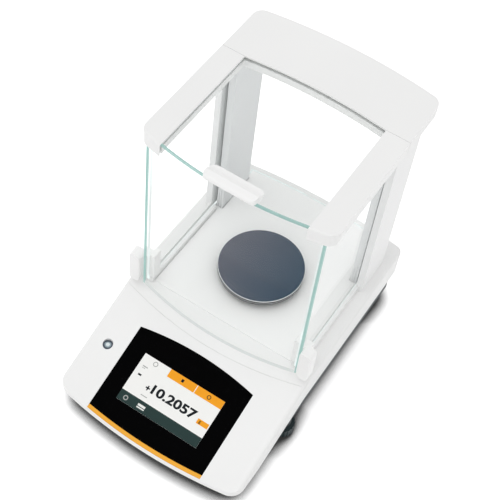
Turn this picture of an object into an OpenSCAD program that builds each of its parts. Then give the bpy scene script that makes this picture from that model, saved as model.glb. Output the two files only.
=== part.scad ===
// Laboratory balance with a glass draft shield that slides open at both sides and at the top.
// X points right, Y to the rear and Z up; the origin is the middle of the footprint on the bench.

/* [Base] */
// Width of the base
base_w = 224; // [216:1:236]
// Depth from the front edge to the rear edge
overall_d = 351; // [344:1:360]
// Height of the deck that carries the draft shield
deck_z = 83; // [80:0.5:88]
// Tilt of the display slope
slope_deg = 20; // [17:0.5:22]
// Bow of the front edge
front_bow = 11; // [6:0.5:14]
// Bow of the rear edge
rear_bow = 9.5; // [4:0.5:12]
// Radius of the base's front corners in plan
corner_r = 16; // [10:1:22]
// Radius of the base's rear corners in plan
rear_corner_r = 9; // [8:0.5:14]
// Radius along the base's upper side edges
shoulder_r = 3.5; // [3.5:0.5:7]
// Wall of the upper housing
wall = 2.5; // [2:0.1:3]
// Height of the housing's lower edge along the sides
skirt_z = 48; // [40:1:51]
// Height of the housing's lower edge at the front
skirt_front_z = 26; // [20:0.5:27]

/* [Tray] */
// Height of the tray's underside above the bench
tray_z = 16; // [15:0.5:18]
// Inset of the tray from the housing's outside
tray_inset = 4; // [3.6:0.1:6]
// Thickness of the tray's floor
tray_floor = 3.5; // [3:0.1:5]
// Thickness of the tray's wall
tray_wall = 3; // [2.5:0.1:4]

/* [Display] */
// Width of the touch panel
panel_w = 140.6; // [130:0.2:150]
// Panel length up the slope, along its middle
panel_l = 107; // [100:0.5:111]
// Bow of the panel's upper edge
panel_top_bow = 7; // [4:0.5:11]
// Thickness of the panel
panel_t = 2.2; // [1.6:0.1:2.6]
// Width of the trim strip in front of the panel
trim_w = 4.2; // [2:0.1:5]
// Housing edge left in front of the trim strip
trim_lip = 2; // [1.5:0.1:4]
// Width of the screen
screen_w = 100; // [90:0.5:112]
// Height of the screen along the slope
screen_h = 55.4; // [50:0.2:60]
// Distance of the screen's lower edge from the front, up the slope
screen_s = 30; // [26:0.5:36]

/* [Level] */
// Distance of the level from the base's side
level_inset = 22; // [16:0.5:28]
// Distance of the level from the front edge, in plan
level_run = 68.2; // [50:0.2:90]
// Diameter of the level's cup
level_d = 11; // [9:0.1:14]

/* [Draft shield] */
// Height of the frame's top
frame_z = 320; // [300:1:340]
// Inset of the top frame from the base's sides
frame_inset = 7.8; // [6:0.1:10]
// Width of each top rail
rail_w = 25.8; // [24:0.2:29]
// Thickness of rails and rear beam
rail_h = 14; // [13:0.5:17]
// Extra depth of the rails' front caps
cap_drop = 1.5; // [1:0.5:4]
// Distance of the front pane's middle from the base's front edge
pane_run = 129.5; // [126:0.5:131]
// Distance from the front pane's middle back to the upper end of the slope
crease_gap = 16.5; // [15:0.5:20]
// How far the front pane reaches past the door planes
pane_over = 4.1; // [3:0.1:4.5]
// Bow of the front pane
pane_bow = 11.5; // [8:0.5:13]
// Thickness of all glass
glass_t = 3; // [2.6:0.1:3.2]
// How far the rear beam stays short of the base's rear edge
beam_step = 0.5; // [0.5:0.5:6]
// Depth of the rear beam at its middle
beam_d = 74.5; // [70:0.5:80]
// Bow of the rear beam's rear edge
beam_bow = 9.5; // [6:0.5:20]
// Bow of the rear beam's inner edge
beam_inner_bow = 5.7; // [3:0.1:8]
// Distance of the door planes from the frame's sides
door_inset = 12.2; // [11.5:0.1:13]
// Distance from the post covers' front to the base's rear edge
post_back = 86.5; // [83:0.5:90]
// Depth of the rear posts
post_d = 55; // [50:0.5:58]
// Depth of the post covers
cover_d = 48; // [42:0.5:56]
// Inset of the post covers from the frame's sides
cover_inset = 2.7; // [2:0.1:5]
// Width of each rear post
post_w = 7.7; // [6:0.1:10]
// Height of the base rails
base_rail_h = 8; // [6.5:0.5:9]
// Distance of the rear window from the base's rear edge
window_back = 6; // [5:0.5:9]

/* [Weighing] */
// Distance of the pan's centre from the base's rear edge
pan_back = 129.5; // [126:0.5:134]
// Diameter of the pan
pan_d = 94; // [82:1:98]
// Height of the pan's top
pan_z = 98.7; // [97:0.1:102]
// Height of the pan's rim
pan_rim = 6.2; // [5:0.1:7]
// Diameter of the carrier's rod
rod_d = 10; // [9:0.5:11]
// Lever arm between pivot and carrier
short_arm = 21.5; // [20:0.5:23]
// Lever arm between pivot and coil
long_arm = 54; // [50:0.5:58]

/* [Feet] */
// Distance of the levelling feet from the base's sides
foot_inset = 11; // [10:0.5:13]
// Distance of the levelling feet from the front edge
foot_run = 118; // [112:1:126]
// Diameter of the levelling wheel
wheel_d = 27; // [25:0.5:30]
// Diameter of the levelling stem
stem_d = 8; // [6:0.5:10]
// Travel of the levelling feet
foot_travel = 6; // [4:0.5:7]

/* [Fits] */
// Gap between parts that slide past each other
slide_gap = 0.5; // [0.4:0.05:0.8]
// Radial clearance of running shafts
run_gap = 0.06; // [0.04:0.01:0.08]
// Gap between a lifted-off part and its seat
seat_gap = 0.3; // [0.2:0.05:0.5]

/* [Hidden] */
$fn = 64;
eps = 0.01;
far = 500;

// Places along Y: the front parts keep to the front edge, the rear ones to the rear edge
front_y = -overall_d / 2;
rear_y = overall_d / 2;
slope_run = pane_run + crease_gap;
crease_y = front_y + slope_run;
pane_y = front_y + pane_run;
foot_y = front_y + foot_run;
level_y = front_y + level_run;
seam_y = rear_y - beam_step - beam_d;
pan_y = rear_y - pan_back;
post_y = rear_y - post_back;
post_step = 6;
post_rear_y = post_y + post_step + post_d;

// Places and widths across, each tied to the base's width
post_slot_gap = 0.8;
post_slot_w = glass_t + 2 * post_slot_gap;
frame_w = base_w - 2 * frame_inset;
top_gap_w = frame_w - 2 * rail_w;
door_x = frame_w / 2 - door_inset;
pane_w = 2 * (door_x + pane_over);
cover_w = frame_w - 2 * cover_inset;
post_gap_w = 2 * (door_x - post_slot_w / 2 - post_w);
level_x = base_w / 2 - level_inset;
foot_x = base_w / 2 - foot_inset;

// Heights
front_z = deck_z - slope_run * tan(slope_deg);
rail_z = frame_z - rail_h;
tray_top_z = tray_z + tray_floor;

// Radius of an arc that has this half chord and this bow
function bow_r(half, bow) = (half * half + bow * bow) / (2 * bow);

white = [0.93, 0.93, 0.92];
grey = [0.80, 0.81, 0.81];
slate = [0.10, 0.14, 0.16];
black = [0.02, 0.02, 0.025];
orange = [0.96, 0.66, 0.12];
clear = [0.75, 0.90, 0.86, 0.3];
steel = [0.62, 0.64, 0.66];
alloy = [0.75, 0.76, 0.78];
rubber = [0.08, 0.08, 0.09];
brass = [0.80, 0.66, 0.32];
board_green = [0.10, 0.36, 0.22];
copper = [0.72, 0.42, 0.22];

module at_left_and_right() {
  children();
  mirror([1, 0, 0]) children();
}

// Flat end with rounded corners that bows out towards -Y: the apex is at y_apex, the sides end at y_end.
module bowed_end(half, bow, r, y_apex, y_end) {
  big_r = bow_r(half, bow);
  y_mid = y_apex + big_r;
  corner_x = half - r;
  corner_y = y_mid - sqrt(pow(big_r - r, 2) - corner_x * corner_x);
  reach = big_r / (big_r - r);
  intersection() {
    translate([0, y_mid]) circle(big_r, $fn = 256);
    polygon([
      [-corner_x, corner_y],
      [-corner_x * reach, y_mid + (corner_y - y_mid) * reach],
      [-corner_x, y_apex - bow],
      [corner_x, y_apex - bow],
      [corner_x * reach, y_mid + (corner_y - y_mid) * reach],
      [corner_x, corner_y]
    ]);
  }
  for (side = [-1, 1]) translate([side * corner_x, corner_y]) circle(r);
  translate([-half, corner_y]) square([2 * half, y_end - corner_y]);
}

// Rectangle from one corner to the other with rounded corners
module round_rect(x0, y0, x1, y1, r) {
  translate([x0 + r, y0]) square([x1 - x0 - 2 * r, y1 - y0]);
  translate([x0, y0 + r]) square([x1 - x0, y1 - y0 - 2 * r]);
  for (x = [x0 + r, x1 - r], y = [y0 + r, y1 - r]) translate([x, y]) circle(r);
}

// Plan of the base, drawn in by inset
module base_plan(inset) {
  half = base_w / 2 - inset;
  bowed_end(half, front_bow, corner_r - inset, front_y + inset, 0);
  mirror([0, 1]) bowed_end(half, rear_bow, max(rear_corner_r - inset, 1), -rear_y + inset, 0);
}

// Cross-section of the housing's top with rounded shoulders
module shoulder_section(half, depth, r) {
  translate([-half, -depth]) square([2 * half, depth - r]);
  translate([-half + r, -r - eps]) square([2 * (half - r), r + eps]);
  for (side = [-1, 1]) translate([side * (half - r), -r]) circle(r);
}

// A section drawn in X and Z, carried along Y from y0 to y1
module along_y(y0, y1) {
  translate([0, y1, 0]) rotate([90, 0, 0]) linear_extrude(y1 - y0) children();
}

// A profile drawn in Y and Z, carried along X from x0 to x1
module along_x(x0, x1) {
  translate([x0, 0, 0]) rotate([90, 0, 90]) linear_extrude(x1 - x0) children();
}

// Frame of the display slope: X across, Y up the slope from the front edge, Z out of its face
module on_slope() {
  translate([0, front_y, front_z]) rotate([slope_deg, 0, 0]) children();
}

// What lies inside the plan, below the deck and below the slope, drawn in by inset.
// The child is the cross-section that both the deck and the slope have.
module below_deck_and_slope(inset) {
  intersection() {
    linear_extrude(deck_z + 1) base_plan(inset);
    translate([0, 0, deck_z - inset]) along_y(-far, far) children();
    on_slope() translate([0, 0, -inset]) along_y(-far / 5, far) children();
  }
}

// Body of the housing with rounded shoulders
module housing_body(inset) {
  r = shoulder_r - min(inset, shoulder_r - 1);
  below_deck_and_slope(inset) shoulder_section(base_w / 2 - inset, far, r);
}

// Hollow of the housing with bevelled shoulders
module housing_hollow() {
  half = base_w / 2 - wall;
  bevel = shoulder_r - wall;
  below_deck_and_slope(wall) polygon([
    [-half, -far],
    [-half, -bevel],
    [-half + bevel, 0],
    [half - bevel, 0],
    [half, -bevel],
    [half, -far]
  ]);
}

// Band that follows the front pane's bow, offset forwards by out, of this thickness
module pane_band(out, t) {
  r = bow_r(pane_w / 2, pane_bow);
  translate([0, pane_y + r]) difference() {
    circle(r + out + t / 2, $fn = 256);
    circle(r + out - t / 2, $fn = 256);
  }
}

// The part of a band that lies in front, within this width
module front_strip(w) {
  intersection() {
    children();
    translate([-w / 2, pane_y - far / 20]) square([w, far / 10]);
  }
}

// Housing bosses: X, Y
boss_r = 5;
boss_hole_r = 1.7;
boss_z = tray_top_z + 8;
boss_inset = 16;
boss_front = 42.5;
boss_mid = 18.5;
boss_rear = 28.5;
boss_places = [
  for (side = [-1, 1], y = [front_y + boss_front, pan_y - boss_mid, rear_y - boss_rear])
    [side * (base_w / 2 - boss_inset), y]
];

// Tray with floor, wall, foot bosses, cell posts and screw bosses
foot_boss_r = stem_d / 2 + 5;
foot_boss_h = foot_travel + 14;
rear_foot_r = 13;
rear_foot_inset = 22;
rear_foot_back = 34.5;
rear_foot_x = base_w / 2 - rear_foot_inset;
rear_foot_y = rear_y - rear_foot_back;
cell_post_r = 6;
cell_post_h = 5;
cell_x = 22;
cell_front = 18;
pot_r = 19;
cell_rear = short_arm + long_arm + pot_r - 2.5;
cell_places = [for (x = [-cell_x, cell_x], y = [pan_y - cell_front, pan_y + cell_rear]) [x, y]];
tray_rim_z = skirt_z + 6;
plate_w = 70;
plate_x = plate_w / 2 + 15 - base_w / 2;
plate_z = tray_top_z + 2;
plate_h = 20;
plate_back = 15.5;
plate_y = rear_y - plate_back;
plate_t = 2;
screw_r = 1.6;
screw_head_r = 3;
screw_head_h = 2.4;
screw_l = 17;
head_sink = 0.6;
hook_hole_r = 9;
hook_arm = 26;
hook_pivot_y = pan_y + hook_arm;
hook_pivot_r = 2;

module base_tray() color(slate) difference() {
  union() {
    intersection() {
      difference() {
        linear_extrude(tray_rim_z) base_plan(tray_inset);
        translate([0, 0, tray_top_z]) linear_extrude(far) base_plan(tray_inset + tray_wall);
      }
      housing_body(wall + 1);
      translate([-far, -far, tray_z]) cube([2 * far, 2 * far, far]);
    }
    at_left_and_right() translate([foot_x, foot_y, tray_z]) cylinder(r = foot_boss_r, h = foot_boss_h);
    for (p = boss_places) translate([p[0], p[1], tray_z]) cylinder(r = boss_r, h = boss_z - tray_z);
    for (p = cell_places)
      translate([p[0], p[1], tray_z]) cylinder(r = cell_post_r, h = tray_floor + cell_post_h);
  }
  at_left_and_right()
    translate([foot_x, foot_y, tray_z - 1]) cylinder(r = stem_d / 2 + run_gap, h = foot_boss_h - 2);
  for (p = boss_places) translate([p[0], p[1], tray_z - 1]) cylinder(r = boss_hole_r, h = far / 10);
  for (p = boss_places)
    translate([p[0], p[1], tray_z - 1]) cylinder(r = screw_head_r + 0.3, h = 1 + head_sink + screw_head_h);
  for (p = cell_places) translate([p[0], p[1], tray_top_z]) cylinder(r = boss_hole_r, h = far / 10);
  translate([0, pan_y, tray_z - 1]) cylinder(r = hook_hole_r, h = tray_floor + 2);
  translate([0, hook_pivot_y, tray_z - 1]) cylinder(r = hook_pivot_r + run_gap, h = tray_floor + 2);
  translate([plate_x - plate_w / 2, plate_y, plate_z]) cube([plate_w, far / 10, plate_h]);
  on_slope() panel_pocket(pocket_wall + 0.5, panel_t + pocket_floor + 0.5);
}

// Moulded upper housing: slope, deck and skirt in one shell
panel_s = trim_lip + trim_w;
pocket_wall = 4;
pocket_floor = 2;
pane_fit = 0.2;
pane_end_gap = 0.4;
slot_w = glass_t + 2 * pane_fit;
slot_l = pane_w + 2 * pane_end_gap;
slot_z = 70;
slot_floor = 3;
sill_t = 10;
sill_run = 12.5;
seam_w = 0.6;
seam_depth = 0.6;
rod_hole_r = rod_d / 2 + 9;

module upper_housing() color(white) difference() {
  union() {
    difference() {
      housing_body(0);
      housing_hollow();
    }
    intersection() {
      housing_body(wall / 2);
      union() {
        for (p = boss_places) translate([p[0], p[1], boss_z]) cylinder(r = boss_r, h = far / 5);
        translate([0, 0, slot_z - slot_floor]) linear_extrude(far / 10)
          front_strip(pane_w + sill_t / 2) pane_band(0, sill_t);
        on_slope() panel_pocket(pocket_wall, panel_t + pocket_floor);
        level_pocket(level_d / 2 + 3, 13);
      }
    }
  }
  along_x(-far, far) skirt_cut();
  translate([0, 0, slot_z]) linear_extrude(far / 10) front_strip(slot_l) pane_band(0, slot_w);
  translate([0, pan_y, 0]) cylinder(r = rod_hole_r, h = far);
  on_slope() panel_pocket(0.15, panel_t);
  intersection() {
    linear_extrude(far) front_strip(base_w - 2 * shoulder_r) pane_band(sill_run, seam_w);
    on_slope() translate([-far, 0, -seam_depth]) cube([2 * far, far, far]);
  }
  level_pocket(level_d / 2 + 0.1, 10.5);
  for (p = boss_places) translate([p[0], p[1], boss_z - 1]) cylinder(r = boss_hole_r, h = 12);
}

// Space below the housing's lower edge
skirt_low_run = 52;
skirt_high_gap = 10;
module skirt_cut() {
  break_y = crease_y - skirt_high_gap;
  low_y = front_y + skirt_low_run;
  polygon([
    [-far, -1],
    [far, -1],
    [far, skirt_z],
    [break_y, skirt_z],
    [low_y, skirt_front_z],
    [-far, skirt_front_z]
  ]);
}

// Outline of panel and trim in the slope's frame, grown by grow
module panel_outline(grow) {
  front_r = bow_r(base_w / 2, front_bow);
  top_r = bow_r(panel_w / 2, panel_top_bow);
  intersection() {
    translate([-panel_w / 2 - grow, -far / 10]) square([panel_w + 2 * grow, far]);
    translate([0, panel_s + front_r]) circle(front_r + grow, $fn = 256);
    translate([0, panel_s + panel_l - top_r]) circle(top_r + grow, $fn = 256);
  }
}

// Pocket that takes panel and trim
module panel_pocket(grow, depth) {
  translate([0, 0, -depth]) linear_extrude(depth + 5) union() {
    panel_outline(grow);
    trim_outline(grow);
  }
}

module trim_outline(grow) {
  front_r = bow_r(base_w / 2, front_bow);
  translate([0, panel_s + front_r]) intersection() {
    difference() {
      circle(front_r + trim_w + grow, $fn = 256);
      circle(front_r, $fn = 256);
    }
    translate([-panel_w / 2 - grow, -front_r - far / 20]) square([panel_w + 2 * grow, far / 10]);
  }
}

// Upright round pocket for the level, reaching down from the slope
level_top_z = deck_z - (crease_y - level_y) * tan(slope_deg) - level_d / 2 * tan(slope_deg);
module level_pocket(r, depth) {
  translate([-level_x, level_y, level_top_z - depth]) cylinder(r = r, h = depth + 20);
}

module display_panel() color(black) on_slope() difference() {
  translate([0, 0, -panel_t]) linear_extrude(panel_t) panel_outline(0);
  translate([-screen_w / 2, screen_s, -far / 10]) cube([screen_w, screen_h, far]);
}

screen_fit = 0.1;
module lcd_screen() color([0.9, 0.92, 0.92]) on_slope()
  translate([-screen_w / 2 + screen_fit, screen_s + screen_fit, -panel_t])
    cube([screen_w - 2 * screen_fit, screen_h - 2 * screen_fit, panel_t - 0.1]);

module front_trim() color(orange) on_slope()
  translate([0, 0, -panel_t]) linear_extrude(panel_t) trim_outline(0);

// Bull's-eye level: cup and lens, upright in their pocket
level_wall = 1.6;
module level_cup() color(slate) translate([-level_x, level_y, level_top_z]) rotate_extrude() polygon([
  [0, -10.5],
  [level_d / 2, -10.5],
  [level_d / 2, 0.4],
  [level_d / 2 - 0.5, 0.9],
  [level_d / 2 - level_wall, 0.9],
  [level_d / 2 - level_wall, -8],
  [0, -8]
]);

module level_lens() color(clear) translate([-level_x, level_y, level_top_z]) rotate_extrude() polygon([
  [0, -8],
  [level_d / 2 - level_wall, -8],
  [level_d / 2 - level_wall, 0.2],
  [level_d / 4, 0.8],
  [0, 1]
]);

// Floor plate of the chamber with a spill collar round the carrier
floor_t = 1.5;
floor_z = deck_z + floor_t;
floor_gap = 1.2;
floor_y = crease_y + 1;
base_rail_wall = 3.2;
groove_w = glass_t + 2 * slide_gap;
base_rail_half = groove_w / 2 + base_rail_wall;
collar_in = rod_d / 2 + 6;
collar_t = 1.5;
collar_h = 3.5;
module floor_plan() {
  wide = door_x - base_rail_half - floor_gap;
  narrow = post_gap_w / 2 - floor_gap;
  translate([-wide, floor_y]) square([2 * wide, post_y + post_step - floor_gap - floor_y]);
  translate([-narrow, floor_y]) square([2 * narrow, post_rear_y - floor_y + 1]);
  window_space(floor_gap / 2);
}

module chamber_floor() color(white) {
  difference() {
    translate([0, 0, deck_z]) linear_extrude(floor_t) floor_plan();
    translate([0, pan_y, 0]) cylinder(r = collar_in, h = far);
  }
  translate([0, pan_y, floor_z]) difference() {
    cylinder(r = collar_in + collar_t, h = collar_h);
    translate([0, 0, -1]) cylinder(r = collar_in, h = collar_h + 2);
  }
}

// Bowed front pane, standing in its slot and held by the rails' front caps
pane_top_z = frame_z - 1;
module front_glass() color(clear)
  translate([0, 0, slot_z]) linear_extrude(pane_top_z - slot_z) front_strip(pane_w) pane_band(0, glass_t);

// Space behind the posts that the rear window closes in, drawn in by inset from the window's inside
window_lap = 2;
module window_space(inset) {
  r = bow_r(base_w / 2, rear_bow);
  half = post_gap_w / 2 + window_lap - inset;
  intersection() {
    translate([0, rear_y - r]) circle(r - window_back - glass_t - inset, $fn = 256);
    translate([-half, post_rear_y]) square([2 * half, far]);
  }
}

// Rear window: bowed like the base's rear edge, its bent ends meet the posts, its top sits in the beam
window_seat = 2;
window_fit = 0.2;
module window_plan(fit) {
  difference() {
    window_space(-glass_t - fit);
    window_space(fit);
  }
}
module rear_glass() color(clear)
  translate([0, 0, deck_z]) linear_extrude(rail_z + window_seat - deck_z) window_plan(0);

// Top rail: its bowed front cap holds the pane's corner, its inner groove carries the top door
top_lip = 2;
top_glass_z = frame_z - top_lip - slide_gap - glass_t;
pane_r = bow_r(pane_w / 2, pane_bow);
cap_wall = 1;
cap_back = 5.5;
rail_front_r = pane_r + slot_w / 2 + cap_wall;
rail_bow = rail_front_r - sqrt(rail_front_r * rail_front_r - frame_w * frame_w / 4);
rail_corner_r = 12;
rail_edge_r = 2;
groove_wall = 5.1;
top_groove_x = door_x - groove_w / 2 - groove_wall;
top_groove_run = 8;
top_groove_y = pane_y + top_groove_run;
door_groove_run = 0.5;
door_groove_y = pane_y + pane_bow + door_groove_run;
door_groove_h = 6;
door_groove_top = rail_z + door_groove_h;

module rail_side_profile() {
  translate([-far, rail_z]) square([far + seam_y, rail_h]);
  translate([-far, rail_z - cap_drop]) square([far + pane_y + pane_bow + cap_back, cap_drop + eps]);
}

module rail_plan() intersection() {
  bowed_end(frame_w / 2, rail_bow, rail_corner_r, pane_y + pane_r - rail_front_r, seam_y);
  translate([top_gap_w / 2, -far]) square([far, 2 * far]);
}

// Disc round the pane's centre: its rim is the rails' bowed front, rounded along the top
module rail_front_disc() {
  h = rail_h + cap_drop;
  translate([0, pane_y + pane_r, frame_z - h]) rotate_extrude($fn = 256) {
    square([rail_front_r, h - rail_edge_r]);
    square([rail_front_r - rail_edge_r, h]);
    translate([rail_front_r - rail_edge_r, h - rail_edge_r]) circle(rail_edge_r);
  }
}

module top_rail() color(white) difference() {
  intersection() {
    along_x(0, far) rail_side_profile();
    linear_extrude(far) rail_plan();
    rail_front_disc();
  }
  linear_extrude(pane_top_z) front_strip(slot_l) pane_band(0, slot_w);
  translate([0, top_groove_y, top_glass_z - slide_gap]) cube([top_groove_x, far, groove_w]);
  translate([door_x - groove_w / 2, door_groove_y, 0]) cube([groove_w, far, door_groove_top]);
  translate([0, seam_y - seam_w, frame_z - seam_depth]) cube([far, far, far]);
  translate([frame_w / 2 - seam_depth, seam_y - seam_w, 0]) cube([far, far, far]);
}
module right_top_rail() top_rail();
module left_top_rail() mirror([1, 0, 0]) top_rail();

// Rear beam over the posts, slotted for the three doors
beam_corner_r = 12;
module beam_plan() {
  half = frame_w / 2;
  difference() {
    mirror([0, 1]) bowed_end(half, beam_bow, beam_corner_r, beam_step - rear_y, -seam_y);
    inner_r = bow_r(top_gap_w / 2, beam_inner_bow);
    intersection() {
      translate([0, seam_y + beam_inner_bow - inner_r]) circle(inner_r, $fn = 256);
      translate([-top_gap_w / 2, seam_y - 1]) square([top_gap_w, far]);
    }
  }
}

module rear_beam() color(white) difference() {
  translate([0, 0, rail_z]) linear_extrude(rail_h) beam_plan();
  translate([0, 0, rail_z - 1]) linear_extrude(1 + window_seat + seat_gap) window_plan(window_fit);
  translate([-top_groove_x, 0, top_glass_z - slide_gap]) cube([2 * top_groove_x, far, groove_w]);
  at_left_and_right() translate([door_x - groove_w / 2, 0, 0]) cube([groove_w, far, door_groove_top]);
}

// Rear post inside the door plane, ribbed at its foot, and its cover outside the door plane
rib_h = 30;
rib_w = 1;
rib_pitch = 2.6;
rib_depth = 0.7;
front_ribs = 2;
side_ribs = 5;
module post() color(grey) difference() {
  x0 = post_gap_w / 2;
  y0 = post_y + post_step;
  translate([x0, y0, deck_z]) cube([post_w, post_d, rail_z - deck_z]);
  for (i = [1:front_ribs]) translate([x0 + i * rib_pitch - rib_w / 2, y0 - 1, 0])
    cube([rib_w, 1 + rib_depth, deck_z + rib_h]);
  for (i = [1:side_ribs]) translate([x0 - 1, y0 + i * rib_pitch - rib_w / 2, 0])
    cube([1 + rib_depth, rib_w, deck_z + rib_h]);
}
module right_post() post();
module left_post() mirror([1, 0, 0]) post();

module post_cover() color(white) {
  x0 = door_x + post_slot_w / 2;
  translate([x0, post_y, deck_z]) cube([cover_w / 2 - x0, cover_d, rail_z - deck_z]);
}
module right_post_cover() post_cover();
module left_post_cover() mirror([1, 0, 0]) post_cover();

// Base rail with the side door's lower groove
rail_start_y = pane_y + pane_bow + 3;
door_z = deck_z + 3.4;
module base_rail() color(white) difference() {
  translate([door_x - base_rail_half, rail_start_y, deck_z])
    cube([2 * base_rail_half, post_y - rail_start_y, base_rail_h]);
  translate([door_x - groove_w / 2, -far, door_z - slide_gap]) cube([groove_w, 2 * far, far]);
}
module right_base_rail() base_rail();
module left_base_rail() mirror([1, 0, 0]) base_rail();

// Side door: a pane with a grip at its lower front corner
door_front_y = pane_y + pane_bow + glass_t / 2 + 0.8;
door_overlap = 11;
module door_glass() color(clear)
  translate([door_x - glass_t / 2, door_front_y, door_z])
    cube([glass_t, post_y + door_overlap - door_front_y, door_groove_top - 0.6 - door_z]);
module right_door_glass() door_glass();
module left_door_glass() mirror([1, 0, 0]) door_glass();

// Grip: two cheeks over the pane's lower corner, with an outer lug that stands before the front pane's end
grip_z = deck_z + base_rail_h + 1;
grip_h = 38;
grip_top_z = grip_z + grip_h;
grip_d = 11;
grip_set = 0.6;
cheek_r = 2;
cheek_in_t = 5.5;
lug_x = pane_w / 2 + 0.9;
lug_out_x = base_w / 2 - 1;
lug_reach = 10.3;
lug_d = 13;
lug_r = 5;
lug_edge_r = 2;
lug_foot_z = deck_z + 3.5;
module door_handle() color(white) {
  y0 = door_front_y - lug_reach;
  y1 = door_front_y + grip_set;
  out_x = door_x + glass_t / 2;
  in_x = door_x - glass_t / 2;
  rail_x = door_x + base_rail_half + grip_set;
  intersection() {
    along_y(y0, y0 + lug_d) union() {
      round_rect(lug_x, grip_z, lug_out_x, grip_top_z, lug_r);
      round_rect(rail_x, lug_foot_z, lug_out_x, grip_z + 3 * lug_r, lug_r);
    }
    linear_extrude(far) round_rect(lug_x, y0, lug_out_x, y0 + lug_d, lug_edge_r);
  }
  along_y(y1, y1 + grip_d) translate([out_x, grip_z]) square([lug_x + lug_r - out_x, grip_h - lug_r]);
  intersection() {
    along_y(y1, y1 + grip_d) round_rect(in_x - cheek_in_t, grip_z, in_x + cheek_r, grip_top_z, cheek_r);
    translate([in_x - cheek_in_t, -far, 0]) cube([cheek_in_t, 2 * far, far]);
  }
}
module right_door_handle() door_handle();
module left_door_handle() mirror([1, 0, 0]) door_handle();

// Top door: its front edge follows the pane, its grip reaches over the pane's top edge
top_door_gap = 0.8;
top_door_overlap = 14;
module top_door_glass() color(clear)
  translate([0, 0, top_glass_z]) linear_extrude(glass_t) intersection() {
    r = bow_r(pane_w / 2, pane_bow);
    translate([0, pane_y + r]) circle(r - glass_t / 2 - top_door_gap, $fn = 256);
    half = top_groove_x - 2 * slide_gap;
    translate([-half, pane_y]) square([2 * half, seam_y + top_door_overlap - pane_y]);
  }

// Top grip: a round bar over the pane's top edge with a finger scoop behind it
top_grip_w = 56;
top_grip_front = 4.5;
top_grip_rear = 17.5;
top_grip_rise = 6;
top_grip_end_r = 6;
grip_bar_d = 11;
grip_bar_r = 3;
grip_lift = 0.8;
grip_lip = 2;
scoop_start = grip_bar_d - 2;
scoop_tail = 3;
module top_grip_profile() {
  y0 = pane_y - top_grip_front;
  y1 = pane_y + top_grip_rear;
  seat_y = pane_y + glass_t / 2 + top_door_gap + 0.3;
  seat_z = top_glass_z + glass_t;
  top_z = frame_z + top_grip_rise;
  scoop_r = bow_r(y1 + scoop_tail - y0 - scoop_start, top_z - seat_z - grip_lip);
  round_rect(y0, pane_top_z + grip_lift, y0 + grip_bar_d, top_z, grip_bar_r);
  difference() {
    translate([seat_y, seat_z]) square([y1 - seat_y, top_z - grip_bar_r / 2 - seat_z]);
    translate([y1 + scoop_tail, seat_z + grip_lip + scoop_r]) circle(scoop_r, $fn = 128);
  }
}
module top_door_handle() color(white) intersection() {
  half = top_grip_w / 2;
  along_x(-half, half) top_grip_profile();
  linear_extrude(far)
    round_rect(-half, pane_y - top_grip_front, half, pane_y + top_grip_rear, top_grip_end_r);
}

// Pan: steel plate with a turned-down rim and a hub that sits on the carrier
pan_t = 1.2;
pan_edge = 0.5;
hub_r = rod_d / 2 + 4;
hub_lift = 6.5;
hub_z = deck_z + hub_lift;
pin_r = 3.5;
module weighing_pan() color(steel) translate([0, pan_y, 0]) rotate_extrude($fn = 128) polygon([
  [pin_r + run_gap, hub_z],
  [hub_r, hub_z],
  [hub_r, pan_z - pan_t],
  [pan_d / 2 - pan_t, pan_z - pan_t],
  [pan_d / 2 - pan_t, pan_z - pan_rim],
  [pan_d / 2, pan_z - pan_rim],
  [pan_d / 2, pan_z - pan_edge],
  [pan_d / 2 - pan_edge, pan_z],
  [0, pan_z],
  [0, pan_z - pan_t],
  [pin_r + run_gap, pan_z - pan_t]
]);

// Carrier: rod in two guides with a yoke for the lever
cell_z = tray_top_z + cell_post_h;
cell_base_h = 6;
guide_lift = 42;
guide_z = cell_z + guide_lift;
guide_h = 4;
lever_lift = 26;
lever_z = cell_z + lever_lift;
lever_h = 5;
lever_w = 9;
yoke_w = lever_w + 9;
yoke_h = 14;
module pan_carrier() color(alloy) translate([0, pan_y, 0]) difference() {
  union() {
    translate([0, 0, cell_z + 1]) cylinder(r = rod_d / 2, h = hub_z - seat_gap - cell_z - 1);
    translate([0, 0, hub_z - seat_gap - 2]) cylinder(r = hub_r, h = 2);
    cylinder_from(hub_z - seat_gap, pan_z - pan_t - 0.6, pin_r);
    translate([-yoke_w / 2, -8, lever_z - yoke_h / 2]) cube([yoke_w, 16, yoke_h]);
  }
  translate([-lever_w / 2 - 0.6, -far, lever_z - lever_h / 2 - 0.35])
    cube([lever_w + 1.2, 2 * far, lever_h + 0.7]);
}

module cylinder_from(z0, z1, r) {
  translate([0, 0, z0]) cylinder(r = r, h = z1 - z0);
}

// Weigh cell frame: base plate, two cheeks with the lever's bearing, and the upper guide
pivot_y = pan_y + short_arm;
pivot_r = 2.5;
cheek_in = 12;
cheek_t = 5;
cheek_front = 14;
cheek_rear = 12;
cheek_y0 = pan_y - cheek_front;
cheek_y1 = pivot_y + cheek_rear;
cell_edge = 8;
cell_half = cell_x + cell_post_r;
module weigh_cell_frame() color(alloy) difference() {
  union() {
    translate([-cell_half, pan_y - cell_front - cell_edge, cell_z])
      cube([2 * cell_half, cell_front + cell_rear + 2 * cell_edge, cell_base_h]);
    at_left_and_right() translate([cheek_in, cheek_y0, cell_z])
      cube([cheek_t, cheek_y1 - cheek_y0, guide_z - cell_z]);
    translate([-cheek_in - cheek_t, cheek_y0, guide_z])
      cube([2 * (cheek_in + cheek_t), cheek_y1 - cheek_y0, guide_h]);
  }
  translate([0, pan_y, 0]) cylinder(r = rod_d / 2 + run_gap, h = far);
  translate([-far, pivot_y, lever_z]) rotate([0, 90, 0]) cylinder(r = pivot_r + run_gap, h = 2 * far);
  for (p = cell_places) translate([p[0], p[1], 0]) cylinder(r = boss_hole_r + 0.2, h = far);
}

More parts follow.
